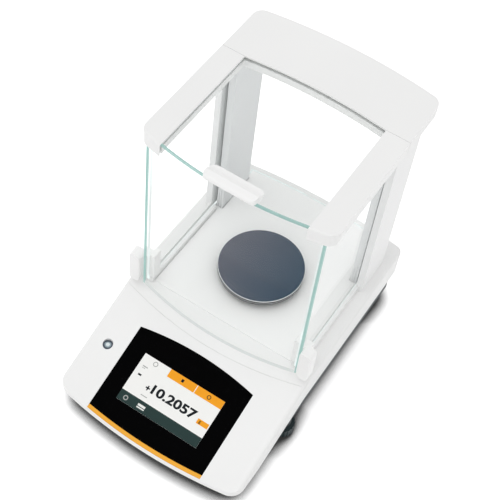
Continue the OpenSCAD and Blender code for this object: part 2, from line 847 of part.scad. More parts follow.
// Load lever with its pivot pin and the flag for the sensor
flag_l = 14;
coil_y = pivot_y + long_arm;
coil_in = 9.9;
coil_out = 12.6;
coil_h = 13;
module load_lever() color(alloy) {
  y0 = pan_y - 6;
  y1 = coil_y + coil_out;
  translate([-lever_w / 2, y0, lever_z - lever_h / 2]) cube([lever_w, y1 - y0, lever_h]);
  translate([-cheek_in - cheek_t, pivot_y, lever_z]) rotate([0, 90, 0])
    cylinder(r = pivot_r, h = 2 * (cheek_in + cheek_t));
  translate([-1, y1, lever_z - 1]) cube([2, flag_l, 2]);
}

module coil() color(copper) translate([0, coil_y, lever_z - lever_h / 2 - coil_h]) difference() {
  cylinder(r = coil_out, h = coil_h);
  translate([0, 0, -1]) cylinder(r = coil_in, h = coil_h - 1);
}

// Magnet pot: outer ring and centre pole with the coil's air gap between them
air_gap = 0.9;
pot_clear = 4;
pot_floor = 3;
pole_drop = 0.6;
module magnet_pot() color([0.35, 0.36, 0.38]) translate([0, coil_y, cell_z + cell_base_h]) difference() {
  pot_h = lever_z - lever_h / 2 - pot_clear - cell_z - cell_base_h;
  cylinder(r = pot_r, h = pot_h);
  translate([0, 0, pot_floor]) difference() {
    cylinder(r = coil_out + air_gap, h = far);
    translate([0, 0, -1]) cylinder(r = coil_in - air_gap, h = 1 + pot_h - pot_floor - pole_drop);
  }
}

// Forked light gate at the lever's tip, on a post of its own
sensor_gap = 3;
module position_sensor() color(black) {
  y0 = coil_y + pot_r + 1;
  z0 = cell_z + cell_base_h;
  difference() {
    translate([-8, y0, tray_top_z]) cube([16, 8, lever_z + 6 - tray_top_z]);
    translate([-1 - sensor_gap / 2, -far, lever_z - 4]) cube([2 + sensor_gap, 2 * far, far]);
    translate([-far, -far, -far]) cube([2 * far, far + pan_y + cell_rear + cell_edge + 0.2, far + z0]);
  }
}

// Calibration weight on the lifter's cradle, moved by a small actuator on the tray
lift_gap = 28;
lift_back = 50;
lift_x = cell_half + lift_gap;
lift_y = pan_y + lift_back;
lift_rod_r = 3;
actuator_r = 10;
actuator_h = 20;
cradle_z = tray_top_z + actuator_h + 10;
weight_r = 9;
weight_l = 30;
module lift_actuator() color(slate) translate([lift_x, lift_y, tray_top_z]) difference() {
  cylinder(r = actuator_r, h = actuator_h);
  translate([0, 0, 6]) cylinder(r = lift_rod_r + run_gap, h = actuator_h);
}

module weight_lifter() color(alloy) translate([lift_x, lift_y, 0]) difference() {
  union() {
    cylinder_from(tray_top_z + 6.3, cradle_z + 1, lift_rod_r);
    translate([-weight_l / 2, -weight_r, cradle_z]) cube([weight_l, 2 * weight_r, 7]);
  }
  translate([-far, 0, cradle_z + 2.5 + weight_r]) rotate([0, 90, 0]) cylinder(r = weight_r, h = 2 * far);
}

module calibration_weight() color(brass)
  translate([lift_x - weight_l / 2, lift_y, cradle_z + 2.5 + weight_r]) rotate([0, 90, 0])
    cylinder(r = weight_r, h = weight_l);

// Boards
board_t = 1.6;
board_inset = boss_inset + boss_r + 1;
board_front = 40;
board_x0 = board_inset - base_w / 2;
board_x1 = -cell_half - 8;
board_x = (board_x0 + board_x1) / 2;
board_w = board_x1 - board_x0;
board_y0 = pan_y - board_front;
board_y1 = plate_y - 1;
board_z = tray_top_z + 5;
spacer_r = 3;
chips = [[-10, 30, 18], [10, 52, 14], [-6, 78, 10]];
chip_h = 2;
capacitor_r = 4;
capacitor_h = 9;
capacitor_pitch = 24;
capacitor_inset = 14;
capacitor_start = 22;
module main_board() color(board_green) {
  translate([board_x - board_w / 2, board_y0, board_z]) cube([board_w, board_y1 - board_y0, board_t]);
  for (x = [-1, 1], y = [board_y0 + 2 * spacer_r, board_y1 - 2 * spacer_r])
    translate([board_x + x * (board_w / 2 - 2 * spacer_r), y, tray_top_z])
      cylinder(r = spacer_r, h = board_z - tray_top_z);
  for (chip = chips)
    translate([board_x + chip[0] - chip[2] / 2, board_y0 + chip[1], board_z + board_t])
      cube([chip[2], chip[2], chip_h]);
  for (i = [0:3])
    translate([board_x1 - capacitor_inset, board_y0 + capacitor_start + i * capacitor_pitch, 0])
      cylinder_from(board_z + board_t, board_z + board_t + capacitor_h, capacitor_r);
}

module display_board() color(board_green) on_slope()
  translate([-screen_w / 2, screen_s, -panel_t - pocket_floor - board_t])
    cube([screen_w, screen_h, board_t]);

// Connector plate in the tray's rear wall with its sockets
socket_pitch = 22;
usb_shift = 2;
inlet_x = plate_x - socket_pitch;
usb_x = plate_x + usb_shift;
data_x = plate_x + socket_pitch;
socket_h = 12;
socket_z = board_z + board_t + socket_h / 2;
inlet_r = 3.2;
usb_w = 13;
data_w = 14;
data_h = 8;
socket_d = 11;
module connector_plate() color(slate) difference() {
  translate([plate_x - plate_w / 2, plate_y, plate_z]) cube([plate_w, plate_t, plate_h]);
  translate([inlet_x - socket_h / 2, 0, socket_z - socket_h / 2]) cube([socket_h, far, socket_h]);
  translate([usb_x - usb_w / 2, 0, socket_z - socket_h / 2]) cube([usb_w, far, socket_h]);
  translate([data_x - data_w / 2, 0, socket_z - data_h / 2]) cube([data_w, far, data_h]);
}

module socket_body(x, w, h) {
  translate([x - w / 2, plate_y + plate_t - socket_d, socket_z - h / 2]) cube([w, socket_d, h]);
}

module power_inlet() color(black) difference() {
  socket_body(inlet_x, socket_h, socket_h);
  translate([inlet_x, plate_y + plate_t - 9, socket_z]) rotate([-90, 0, 0]) cylinder(r = inlet_r, h = far);
}

module usb_socket() color(steel) difference() {
  socket_body(usb_x, usb_w, socket_h);
  translate([usb_x - 4.6, plate_y + plate_t - 9, socket_z - 4.2]) cube([9.2, far, 8.4]);
}

module data_socket() color(steel) difference() {
  socket_body(data_x, data_w, data_h);
  translate([data_x - 6.2, plate_y + plate_t - 9, socket_z - 2.6]) cube([12.4, far, 5.2]);
}

// Levelling foot: knurled wheel with stem, swivel pad below
pad_h = 4;
pad_r = 10;
pad_pin_r = 2.5;
wheel_gap = 0.4;
wheel_h = tray_z - pad_h - 2 * wheel_gap;
flutes = 20;
flute_r = 1.4;
module foot_wheel() color(slate) translate([foot_x, foot_y, pad_h + wheel_gap]) difference() {
  union() {
    cylinder(r = wheel_d / 2, h = wheel_h);
    cylinder(r = stem_d / 2, h = wheel_h + foot_boss_h - 4);
  }
  translate([0, 0, -1]) cylinder(r = pad_pin_r + run_gap, h = 1 + wheel_h - 2);
  for (i = [0:flutes - 1]) rotate(i * 360 / flutes)
    translate([wheel_d / 2 + flute_r * 0.45, 0, -1]) cylinder(r = flute_r, h = wheel_h + 2);
}
module right_foot_wheel() foot_wheel();
module left_foot_wheel() mirror([1, 0, 0]) foot_wheel();

module foot_pad() color(rubber) translate([foot_x, foot_y, 0]) {
  cylinder(r = pad_r, h = pad_h);
  cylinder(r = pad_pin_r, h = pad_h + wheel_gap + wheel_h - 2.5);
}
module right_foot_pad() foot_pad();
module left_foot_pad() mirror([1, 0, 0]) foot_pad();

module rear_feet() color(rubber) at_left_and_right()
  translate([rear_foot_x, rear_foot_y, 0]) rotate_extrude()
    polygon([[0, 0], [rear_foot_r - 2, 0], [rear_foot_r - 1, 1], [rear_foot_r, tray_z], [0, tray_z]]);

// Cover of the hook port below the weigh cell, swinging on its pin
cover_t = 2;
module hook_port_cover() color(slate) {
  z0 = tray_z - seat_gap - cover_t;
  translate([0, 0, z0]) linear_extrude(cover_t) union() {
    translate([0, pan_y]) circle(hook_hole_r + 4);
    translate([0, hook_pivot_y]) circle(6);
    translate([-6, pan_y]) square([12, hook_pivot_y - pan_y]);
  }
  translate([0, hook_pivot_y, 0]) cylinder_from(z0, tray_top_z + 0.5, hook_pivot_r);
}

// Screws: the housing's come from below, the cell's from above
module housing_screws() color(steel) for (p = boss_places) translate([p[0], p[1], tray_z + head_sink]) {
  cylinder(r = screw_head_r, h = screw_head_h);
  cylinder(r = screw_r, h = screw_l);
}

module cell_screws() color(steel) for (p = cell_places) translate([p[0], p[1], 0]) {
  cylinder_from(cell_z + cell_base_h, cell_z + cell_base_h + screw_head_h, screw_head_r);
  cylinder_from(tray_top_z + 0.5, cell_z + cell_base_h + 1, screw_r);
}

base_tray();
upper_housing();
display_panel();
lcd_screen();
front_trim();
level_cup();
level_lens();
chamber_floor();
front_glass();
rear_glass();
left_top_rail();
right_top_rail();
rear_beam();
left_post();
right_post();
left_post_cover();
right_post_cover();
left_base_rail();
right_base_rail();
left_door_glass();
left_door_handle();
right_door_glass();
right_door_handle();
top_door_glass();
top_door_handle();
weighing_pan();
pan_carrier();
weigh_cell_frame();
load_lever();
coil();
magnet_pot();
position_sensor();
calibration_weight();
weight_lifter();
lift_actuator();
main_board();
display_board();
connector_plate();
power_inlet();
usb_socket();
data_socket();
left_foot_wheel();
left_foot_pad();
right_foot_wheel();
right_foot_pad();
rear_feet();
hook_port_cover();
housing_screws();
cell_screws();
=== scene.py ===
"""Laboratory balance with a glass draft shield, seen from above its right front corner."""

import math

import bpy
import numpy as np
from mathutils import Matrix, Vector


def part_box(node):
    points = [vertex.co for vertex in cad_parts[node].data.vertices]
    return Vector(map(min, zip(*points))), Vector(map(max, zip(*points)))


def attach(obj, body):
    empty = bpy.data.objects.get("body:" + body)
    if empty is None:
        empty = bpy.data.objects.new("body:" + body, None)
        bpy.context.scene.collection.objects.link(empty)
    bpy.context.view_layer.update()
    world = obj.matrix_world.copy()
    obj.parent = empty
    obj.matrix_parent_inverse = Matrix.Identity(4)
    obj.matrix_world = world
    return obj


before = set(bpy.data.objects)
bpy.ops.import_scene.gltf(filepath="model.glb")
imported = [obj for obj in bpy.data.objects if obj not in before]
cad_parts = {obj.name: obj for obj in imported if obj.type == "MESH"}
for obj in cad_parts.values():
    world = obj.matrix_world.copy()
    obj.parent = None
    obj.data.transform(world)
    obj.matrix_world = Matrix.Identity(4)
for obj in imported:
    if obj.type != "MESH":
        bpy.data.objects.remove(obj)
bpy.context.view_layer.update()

# Stage: a matt white floor under a white sky, brighter to the left and in front, and one broad lamp overhead.
# To the camera, and in glass and metal, floor and sky are full white.
# The floor darkens only close to the base, which hides the sky from it.
scene = bpy.context.scene
scene.view_settings.view_transform = "Standard"

camera = bpy.data.objects.new("camera", bpy.data.cameras.new("camera"))
camera.location = (0.31163, -0.62324, 1.13429)
camera_turn_deg = (36.186, -4.918, 32.768)
camera.rotation_euler = [math.radians(angle) for angle in camera_turn_deg]
camera.data.lens = 85.602
camera.data.shift_x = -0.00299
camera.data.shift_y = -0.0152
scene.collection.objects.link(camera)
scene.camera = camera


def feed(tree, socket, value):
    """Link a socket to another node's output, or set it where the value is a number, vector or colour."""
    if isinstance(value, bpy.types.NodeSocket):
        tree.links.new(value, socket)
    else:
        socket.default_value = value


def put(tree, kind, inputs, result):
    """New node of a kind with these inputs by label; gives the output of that label."""
    node = tree.nodes.new("ShaderNode" + kind)
    for label, value in inputs.items():
        feed(tree, node.inputs[label], value)
    return node.outputs[result]


def maths(tree, operation, *values, kind="Math", result=0):
    """Math node, or Vector Math by its kind, that works on the values in turn; gives one of its outputs."""
    node = tree.nodes.new("ShaderNode" + kind)
    node.operation = operation
    for socket, value in zip(node.inputs, values):
        feed(tree, socket, value)
    return node.outputs[result]


def blend(tree, factor, first, second, kind="RGBA", way="MIX"):
    """Mix node from first to second by the factor, for colours or, by its kind, for numbers."""
    node = tree.nodes.new("ShaderNodeMix")
    node.data_type = kind
    node.blend_type = way
    for label, value in (("Factor", factor), ("A", first), ("B", second)):
        feed(tree, node.inputs[label], value)
    return node.outputs["Result"]


def seen_rays(tree):
    """Mask that is 1 on camera, glossy and transmission rays, which see the backdrop, and 0 on light."""
    ray = tree.nodes.new("ShaderNodeLightPath").outputs
    mask = maths(tree, "MAXIMUM", ray["Is Camera Ray"], ray["Is Glossy Ray"])
    return maths(tree, "MAXIMUM", mask, ray["Is Transmission Ray"])


brightest_side = (-0.52, -0.60, 0.61)
sky_least, sky_most = 0.62, 0.88
world = bpy.data.worlds.new("white_sky")
scene.world = world
world.use_nodes = True
sky = world.node_tree
background = sky.nodes["Background"].inputs
background["Color"].default_value = (1, 1, 1, 1)
direction = put(sky, "TexCoord", {}, "Generated")
towards_light = maths(sky, "DOT_PRODUCT", direction, brightest_side, kind="VectorMath", result="Value")
sky_range = {"From Min": -1.0, "From Max": 1.0, "To Min": sky_least, "To Max": sky_most}
sky_light = put(sky, "MapRange", {"Value": towards_light, **sky_range}, "Result")
feed(sky, background["Strength"], blend(sky, seen_rays(sky), sky_light, 1.0, kind="FLOAT"))

lamp = bpy.data.objects.new("lamp", bpy.data.lights.new("lamp", "SUN"))
lamp.data.energy = 0.45
lamp.data.angle = math.radians(40)
lamp_turn_deg = (6, -5, 0)
lamp.rotation_euler = [math.radians(angle) for angle in lamp_turn_deg]
scene.collection.objects.link(lamp)


def new_material(name):
    """Material with the usual Principled shader."""
    material = bpy.data.materials.new(name)
    material.use_nodes = True
    return material


def shader(material):
    """Inputs of a material's Principled shader."""
    return material.node_tree.nodes["Principled BSDF"].inputs


floor_half = 6.0
floor_corners = [(x * floor_half, y * floor_half, 0) for x, y in ((-1, -1), (1, -1), (1, 1), (-1, 1))]
floor_mesh = bpy.data.meshes.new("floor")
floor_mesh.from_pydata(floor_corners, [], [(0, 1, 2, 3)])
floor = bpy.data.objects.new("floor", floor_mesh)
scene.collection.objects.link(floor)
shadow_reach = 0.0265
covered, open_sky = 0.58, 0.86
shadow_tone, floor_tone = 0.04, 0.97
floor_own_light = 0.55
floor_white = new_material("floor_white")
floor_tree = floor_white.node_tree
floor_shader = shader(floor_white)
floor_shader["Roughness"].default_value = 1.0
floor_shader["Specular IOR Level"].default_value = 0.0
contact = floor_tree.nodes.new("ShaderNodeAmbientOcclusion")
contact.samples = 24
contact.inputs["Distance"].default_value = shadow_reach
shadow_range = {"From Min": covered, "From Max": open_sky, "To Min": shadow_tone, "To Max": floor_tone}
openness = put(floor_tree, "MapRange", {"Value": contact.outputs["AO"], **shadow_range}, "Result")
feed(floor_tree, floor_shader["Base Color"], openness)
feed(floor_tree, floor_shader["Emission Color"], openness)
floor_lift = maths(floor_tree, "MULTIPLY", seen_rays(floor_tree), floor_own_light)
feed(floor_tree, floor_shader["Emission Strength"], floor_lift)
floor_mesh.materials.append(floor_white)


# Upper housing: one moulded shell of slope, deck and skirt.
# White satin plastic with a very fine spark-eroded grain, screwed to the tray from below.
def new_group(name, inputs, outputs):
    """Empty node group with these sockets, each a label with its kind; gives the group, its inputs as
    outputs to draw on, and its outputs as inputs to feed."""
    group = bpy.data.node_groups.new(name, "ShaderNodeTree")
    for way, sockets in (("INPUT", inputs), ("OUTPUT", outputs)):
        for label, kind in sockets.items():
            group.interface.new_socket(label, in_out=way, socket_type="NodeSocket" + kind)
    return group, group.nodes.new("NodeGroupInput").outputs, group.nodes.new("NodeGroupOutput").inputs


def put_group(material, group, values):
    """Place a group in a material with its own values; gives the group's outputs."""
    node = material.node_tree.nodes.new("ShaderNodeGroup")
    node.node_tree = group
    for label, value in values.items():
        node.inputs[label].default_value = value
    return node.outputs


def surfaced(name, group, values):
    """Material whose colour, roughness and normal come from a group with its own values."""
    material = new_material(name)
    surface = put_group(material, group, values)
    for label, result in (("Base Color", "Colour"), ("Roughness", "Roughness"), ("Normal", "Normal")):
        feed(material.node_tree, shader(material)[label], surface[result])
    return material


def moulded_group():
    """Colour, roughness and normal of a moulded surface: slow tone drift plus a fine noise grain."""
    group, given, made = new_group(
        "moulded_surface",
        {
            "Colour": "Color", "Roughness": "Float",
            "Drift": "Float", "Grain scale": "Float", "Grain depth": "Float",
        },
        {"Colour": "Color", "Roughness": "Float", "Normal": "Vector"},
    )
    place = put(group, "TexCoord", {}, "Object")
    slow = put(group, "TexNoise", {"Vector": place, "Scale": 9.0, "Detail": 2.0}, "Fac")
    feed(group, made["Colour"], blend(group, given["Drift"], given["Colour"], slow, way="MULTIPLY"))
    fine = put(group, "TexNoise", {"Vector": place, "Scale": given["Grain scale"], "Detail": 3.0}, "Fac")
    feed(group, made["Roughness"], maths(group, "MULTIPLY_ADD", fine, 0.08, given["Roughness"]))
    grain = {"Height": fine, "Strength": 0.35, "Distance": given["Grain depth"]}
    feed(group, made["Normal"], put(group, "Bump", grain, "Normal"))
    return group


moulded_surface = moulded_group()


def moulded(name, colour, roughness, drift=0.06, scale=900.0, depth=0.00006):
    """Moulded or coated surface; drift is the share of slow tone change, scale and depth are the grain's."""
    values = {
        "Colour": (*colour, 1), "Roughness": roughness,
        "Drift": drift, "Grain scale": scale, "Grain depth": depth,
    }
    return surfaced(name, moulded_surface, values)


def dress(material, *names):
    """Give the CAD nodes of these names the material."""
    for name in names:
        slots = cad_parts[name].data.materials
        slots.clear()
        slots.append(material)


dress(moulded("housing_white", (0.92, 0.92, 0.915), 0.42), "upper_housing")

# Tray: the die-cast shell that carries everything, with a dark powder coat.
# The connector plate at its rear, the swinging cover of the hook port under it
# and the box of the lift drive inside it have the same coat.
dress(
    moulded("tray_coat", (0.030, 0.040, 0.046), 0.5, 0.25, 600.0, 0.00012),
    "base_tray", "connector_plate", "hook_port_cover", "lift_actuator",
)

# Feet: two levelling wheels of dark plastic, screwed into the tray in front, each on its own pad,
# and two plain feet glued on at the rear. Pads and rear feet are rubber.
dress(moulded("wheel_plastic", (0.006, 0.022, 0.026), 0.45, 0.2), "left_foot_wheel", "right_foot_wheel")
dress(
    moulded("foot_rubber", (0.030, 0.030, 0.032), 0.75, 0.3),
    "left_foot_pad", "right_foot_pad", "rear_feet",
)

# Touch panel: a sheet of glass, printed black on its back and etched against glare in front.
# It is let into the slope and glued in its pocket.
panel_black = moulded("panel_black", (0.0012, 0.0012, 0.0014), 0.12, 0.2, 60.0, 0.00001)
shader(panel_black)["Specular IOR Level"].default_value = 0.006
dress(panel_black, "display_panel")

# Front trim: a bowed strip of plastic, coloured orange all through.
# It is glued in the same pocket, along the lower edge of the panel.
dress(moulded("trim_orange", (0.93, 0.42, 0.012), 0.45, 0.08), "front_trim")

# Screen: a backlit LCD in the panel's window, clipped to the board behind it.
# Its fields, signs and figures are flat sheets that lie about a twentieth of a millimetre above it,
# in four layers: coloured fields, marks, signs and figures.
screen_low, screen_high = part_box("lcd_screen")
tilt = math.radians(20)
screen_t = 0.0021
field_lift, mark_lift, sign_lift, figure_lift = 0.00004, 0.00005, 0.00006, 0.00007
along = np.array([0, math.cos(tilt), math.sin(tilt)])
outward = np.array([0, -math.sin(tilt), math.cos(tilt)])
screen_w = screen_high.x - screen_low.x
screen_h = (screen_high.y - screen_low.y - screen_t * math.sin(tilt)) / math.cos(tilt)
screen_corner = np.array(screen_low) + screen_t * outward
screen_corner[1] = screen_low.y


def on_screen(u, v, lift):
    """Point of the screen at shares u across and v down, raised by lift along the screen's normal."""
    u, v = np.asarray(u, float)[..., None], np.asarray(v, float)[..., None]
    across = np.array([screen_w, 0, 0])
    return screen_corner + u * across + (1 - v) * screen_h * along + lift * outward


def lit(name, colour):
    """Backlit surface: two thirds of its brightness are reflected light, one third is its own glow."""
    material = moulded(name, colour, 0.3, 0.03, 2000.0, 0.0)
    sockets = shader(material)
    sockets["Specular IOR Level"].default_value = 0.05
    sockets["Emission Strength"].default_value = 0.5
    feed(material.node_tree, sockets["Emission Color"], sockets["Base Color"].links[0].from_socket)
    return material


def add_to_screen(name, mesh, material):
    """Piece that is part of the screen, made of a finished mesh."""
    mesh.materials.clear()
    mesh.materials.append(material)
    piece = bpy.data.objects.new(name, mesh)
    scene.collection.objects.link(piece)
    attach(piece, "base")


def screen_sheet(name, grids, lift, material):
    """Flat sheets on the screen. Each grid is a pair of arrays, the shares u and v of its points, and
    the four points round each of its cells make a face."""
    points, faces, start = [], [], 0
    for u, v in grids:
        rows, columns = np.broadcast(u, v).shape
        points.append(on_screen(*np.broadcast_arrays(u, v), lift).reshape(-1, 3))
        corner = start + np.arange(rows * columns).reshape(rows, columns)
        cells = (corner[:-1, :-1], corner[:-1, 1:], corner[1:, 1:], corner[1:, :-1])
        faces.append(np.stack(cells, -1).reshape(-1, 4))
        start += rows * columns
    mesh = bpy.data.meshes.new(name)
    mesh.from_pydata(np.concatenate(points).tolist(), [], np.concatenate(faces).tolist())
    add_to_screen(name, mesh, material)


def field(u0, u1, v0, v1):
    """Rectangle from u0 to u1 across and v0 to v1 down, as a grid of two by two points."""
    return np.array([[u0, u1], [u0, u1]]), np.array([[v1, v1], [v0, v0]])


def ring(u, v, inner, outer):
    """Ring about (u, v): a grid of angle by radius, with the radii in shares of the screen's height."""
    angle, radius = np.meshgrid(np.linspace(0, 2 * np.pi, 33), np.array([outer, inner]))
    return u + radius * np.cos(angle) * screen_h / screen_w, v - radius * np.sin(angle)


dress(lit("screen_white", (0.615, 0.615, 0.60)), "lcd_screen")
screen_sheet(
    "screen_buttons",
    [field(0.33, 0.661, 0.0, 0.165), field(0.669, 1.0, 0.0, 0.165), field(0.855, 0.99, 0.51, 0.61)],
    field_lift,
    lit("screen_amber", (0.62, 0.25, 0.014)),
)
screen_sheet(
    "screen_bar",
    [field(0.0, 1.0, 0.79, 1.0)],
    field_lift,
    lit("screen_teal", (0.017, 0.033, 0.031)),
)
ink = lit("screen_ink", (0.008, 0.010, 0.012))
screen_sheet(
    "screen_marks",
    [ring(0.16, 0.085, 0.035, 0.05), field(0.05, 0.11, 0.215, 0.235), field(0.05, 0.09, 0.255, 0.265),
     field(0.20, 0.28, 0.695, 0.71), ring(0.087, 0.905, 0.03, 0.05)],
    mark_lift,
    lit("screen_grey", (0.26, 0.27, 0.26)),
)
screen_sheet(
    "screen_icons",
    [field(0.235, 0.325, 0.86, 0.905), field(0.235, 0.325, 0.92, 0.945)],
    sign_lift,
    lit("screen_bright", (0.55, 0.56, 0.54)),
)
screen_sheet(
    "screen_signs",
    [field(0.485, 0.515, 0.05, 0.11), ring(0.83, 0.085, 0.028, 0.042), field(0.055, 0.095, 0.385, 0.42)],
    sign_lift,
    ink,
)


def screen_text(name, words, u0, u1, v0, v1, bold):
    """Figures as a flat mesh, stretched to the field u0..u1, v0..v1; bold is the outline's growth."""
    letters = bpy.data.curves.new(name, "FONT")
    letters.body = words
    letters.offset = bold
    holder = bpy.data.objects.new(name + "_outline", letters)
    scene.collection.objects.link(holder)
    bpy.context.view_layer.update()
    mesh = bpy.data.meshes.new_from_object(holder)
    bpy.data.objects.remove(holder)
    flat = np.zeros(len(mesh.vertices) * 3)
    mesh.vertices.foreach_get("co", flat)
    flat = flat.reshape(-1, 3)
    low, high = flat.min(0), flat.max(0)
    share = (flat - low) / np.maximum(high - low, 1e-9)
    placed = on_screen(u0 + share[:, 0] * (u1 - u0), v1 + share[:, 1] * (v0 - v1), figure_lift)
    mesh.vertices.foreach_set("co", placed.ravel())
    mesh.update()
    add_to_screen(name, mesh, ink)


screen_text("screen_figures", "10.2057", 0.275, 0.82, 0.41, 0.60, 0.035)
screen_text("screen_sign", "+", 0.205, 0.255, 0.49, 0.585, 0.035)
screen_text("screen_unit", "g", 0.875, 0.90, 0.535, 0.60, 0.01)


# Level: a round spirit level, pressed into a pocket in the slope, left of the panel.
# A dark plastic cup under a clear lens; the bubble stands in the middle of the liquid.
def colour_ramp(tree, value, stops, way="LINEAR"):
    """Colour Ramp node over a value from 0 to 1; each stop is a place and its colour."""
    node = tree.nodes.new("ShaderNodeValToRGB")
    node.color_ramp.interpolation = way
    ends = node.color_ramp.elements[0], node.color_ramp.elements[1]
    for end, (spot, colour) in zip(ends, (stops[0], stops[-1])):
        end.position = spot
        end.color = (*colour, 1)
    for spot, colour in stops[1:-1]:
        node.color_ramp.elements.new(spot).color = (*colour, 1)
    feed(tree, node.inputs["Fac"], value)
    return node.outputs["Color"]


dress(moulded("level_cup_plastic", (0.060, 0.080, 0.110), 0.35, 0.2), "level_cup")
cup_low, cup_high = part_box("level_cup")
lens_low, lens_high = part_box("level_lens")
lens_middle = ((lens_low.x + lens_high.x) / 2, (lens_low.y + lens_high.y) / 2, 0)
bubble_stops = ((0.0, (0.80, 0.86, 0.88)), (0.36, (0.72, 0.80, 0.82)), (0.42, (0.34, 0.42, 0.46)))
level_liquid = moulded("level_liquid", (0.42, 0.50, 0.52), 0.08, 0.05, 200.0, 0.0)
level_tree = level_liquid.node_tree
level_place = put(level_tree, "TexCoord", {}, "Object")
from_middle = maths(level_tree, "SUBTRACT", level_place, lens_middle, kind="VectorMath")
flat_only = maths(level_tree, "MULTIPLY", from_middle, (1, 1, 0), kind="VectorMath")
lens_radius = maths(level_tree, "LENGTH", flat_only, kind="VectorMath", result="Value")
lens_share = maths(level_tree, "DIVIDE", lens_radius, (cup_high.x - cup_low.x) / 2)
bubble = colour_ramp(level_tree, lens_share, bubble_stops, "EASE")
feed(level_tree, shader(level_liquid)["Base Color"], bubble)
dress(level_liquid, "level_lens")

# Draft shield frame: top rails with front caps, rear beam, base rails and the plate of the chamber's floor.
# White satin mouldings, joined at the corners; the plate lies on the deck.
dress(
    moulded("frame_white", (0.92, 0.92, 0.915), 0.4),
    "left_top_rail", "right_top_rail", "rear_beam", "left_base_rail", "right_base_rail",
)
# The plate is a lighter white than the frame: painted light that makes up for the shade the frame casts over
# the chamber.
dress(moulded("plate_lit_white", (0.98, 0.98, 0.975), 0.4, 0.02), "chamber_floor")

# Rear posts: pale grey columns inside the doors and white covers outside them.
# Both are moulded plastic, stand on the deck and carry the rear beam.
dress(moulded("post_grey", (0.85, 0.86, 0.865), 0.45), "left_post", "right_post")
dress(moulded("cover_white", (0.92, 0.92, 0.92), 0.42), "left_post_cover", "right_post_cover")


# Panes: clear float glass; their ground edges carry a painted pale green glow.
# The front pane, its foot bedded in the slope under a painted pale glow, and the rear window are fixed.
# The side doors and the top door slide in the grooves of the frame.
def edge_group():
    """Colours of a pane. A painted green glow on an edge face, whose normal has a part along the edge axes,
    and on the faces beyond Side from the middle or above Top; a painted pale glow where it is bedded, below
    the slope that rises with Y from Bed; clear elsewhere."""
    group, given, made = new_group(
        "pane_edges",
        {
            "Edge axes": "Vector", "Side": "Float", "Top": "Float",
            "Bed": "Float", "Rise": "Float", "Paleness": "Float",
        },
        {"Tint": "Color", "Glow": "Color"},
    )
    # Painted glow: green on the edges and pale on the bedded foot, over near-black tints there.
    green_deep, green_light, green_pale = (0.23, 0.39, 0.36, 1), (0.35, 0.49, 0.46, 1), (0.83, 0.87, 0.865, 1)
    clear_tint, edge_tint, bed_tint = (0.994, 0.999, 0.997, 1), (0.02, 0.03, 0.03, 1), (0.02, 0.02, 0.02, 1)
    no_glow, bed_glow = (0, 0, 0, 1), (0.62, 0.65, 0.638, 1)
    normal = put(group, "NewGeometry", {}, "Normal")
    along_axes = maths(group, "MULTIPLY", normal, given["Edge axes"], kind="VectorMath")
    edge_part = maths(group, "LENGTH", along_axes, kind="VectorMath", result="Value")
    place = put(group, "TexCoord", {}, "Object")
    split = group.nodes.new("ShaderNodeSeparateXYZ")
    feed(group, split.inputs[0], place)
    x, y, z = split.outputs
    edge = maths(group, "GREATER_THAN", edge_part, 0.6)
    beside = maths(group, "GREATER_THAN", maths(group, "ABSOLUTE", x), given["Side"])
    above = maths(group, "GREATER_THAN", z, given["Top"])
    edge = maths(group, "MAXIMUM", edge, maths(group, "MAXIMUM", beside, above))
    slope = maths(group, "ADD", given["Bed"], maths(group, "MULTIPLY", y, given["Rise"]))
    bed = maths(group, "LESS_THAN", z, slope)
    cloud = put(group, "TexNoise", {"Vector": place, "Scale": 60.0}, "Fac")
    green = blend(group, given["Paleness"], blend(group, cloud, green_deep, green_light), green_pale)
    tint = blend(group, edge, clear_tint, edge_tint)
    feed(group, made["Tint"], blend(group, bed, tint, bed_tint))
    glow = blend(group, edge, no_glow, green)
    feed(group, made["Glow"], blend(group, bed, glow, bed_glow))
    return group


pane_edges = edge_group()


def pane(name, edge_axes, **places):
    """Clear pane; light passes it without bending. Limits that are not given lie outside every pane."""
    material = new_material(name)
    tree = material.node_tree
    sockets = shader(material)
    sockets["Transmission Weight"].default_value = 1.0
    sockets["Roughness"].default_value = 0.0
    sockets["IOR"].default_value = 1.06
    # The group's painted glow on the edges and the bedded foot is emitted at full strength.
    sockets["Emission Strength"].default_value = 1.0
    beyond = {"Side": 1.0, "Top": 1.0, "Bed": -1.0}
    colours = put_group(material, pane_edges, {"Edge axes": edge_axes, **beyond, **places})
    feed(tree, sockets["Base Color"], colours["Tint"])
    feed(tree, sockets["Emission Color"], colours["Glow"])
    ray = tree.nodes.new("ShaderNodeLightPath").outputs
    passing = maths(tree, "MAXIMUM", ray["Is Shadow Ray"], ray["Is Diffuse Ray"])
    glass = tree.nodes["Principled BSDF"].outputs["BSDF"]
    clear = put(tree, "BsdfTransparent", {"Color": (0.995, 1.0, 0.998, 1)}, "BSDF")
    mix = tree.nodes.new("ShaderNodeMixShader")
    for socket, value in zip(mix.inputs, (passing, glass, clear)):
        feed(tree, socket, value)
    feed(tree, tree.nodes["Material Output"].inputs["Surface"], mix.outputs["Shader"])
    return material


front_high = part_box("front_glass")[1]
# The front pane's painted pale glow reaches a little above the slope where its foot is bedded.
side_band, top_band, bed_glow_margin, plate_setback = 0.0022, 0.001, 0.0004, 0.001
slope_rise = math.tan(tilt)
deck_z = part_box("upper_housing")[1].z
crease_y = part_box("chamber_floor")[0].y - plate_setback
pane_front = pane(
    "pane_front", (1, 0, 1),
    Side=front_high.x - side_band,
    Top=front_high.z - top_band,
    Bed=deck_z - crease_y * slope_rise + bed_glow_margin,
    Rise=slope_rise,
)
dress(pane_front, "front_glass")
dress(pane("pane_rear", (0, 0, 1), Paleness=0.7), "rear_glass")
dress(pane("pane_side", (0, 1, 1), Paleness=0.93), "left_door_glass", "right_door_glass")
dress(pane("pane_top", (1, 1, 0), Paleness=0.62), "top_door_glass")

